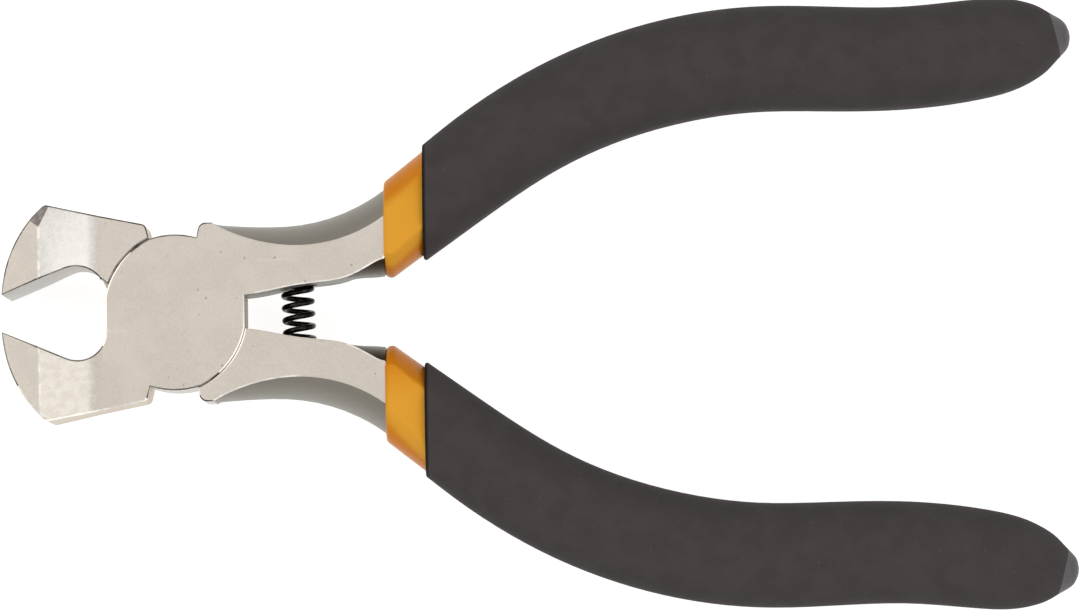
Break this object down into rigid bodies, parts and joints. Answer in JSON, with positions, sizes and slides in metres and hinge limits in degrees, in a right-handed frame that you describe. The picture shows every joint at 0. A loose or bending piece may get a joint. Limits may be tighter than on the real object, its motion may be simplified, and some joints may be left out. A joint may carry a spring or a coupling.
{
  "type": "precision end-cutting pliers",
  "caption": "Small lap-joint end-cutting pliers, sprung open, with orange inner sleeves and dark outer grips on bowed handles",
  "frame": {"origin": "centre of the pivot on the rear joint face, the flat side away from the camera in the picture", "axes": "+X from the pivot between the handles, so the jaws point along -X; +Y towards the upper handle of the picture; +Z along the pivot axis, out of the front joint face"},
  "size_m": [0.1121, 0.0642, 0.0135],
  "materials": {
    "forged_steel": "satin ground faces",
    "rivet_steel": "ground flush",
    "spring_steel": "black oxide, oiled",
    "orange_sleeve": "glossy",
    "dark_grip": "matte, fine grained"
  },
  "bodies": {
    "front": {"front_lever": "forged_steel", "pivot_rivet": "rivet_steel", "return_spring": "spring_steel", "upper_inner_sleeve": "orange_sleeve", "upper_outer_grip": "dark_grip"},
    "rear": {"rear_lever": "forged_steel", "lower_inner_sleeve": "orange_sleeve", "lower_outer_grip": "dark_grip"}
  },
  "joints": [
    {"name": "lever_pivot", "type": "hinge", "parent": "front", "child": "rear", "pos_m": [0, 0, 0.0045], "axis": [0, 0, 1], "range_deg": [0, 12.3], "stiffness_Nm_per_rad": 1.2, "springref_deg": -2.86, "deforming": ["return_spring"]}
  ]
}
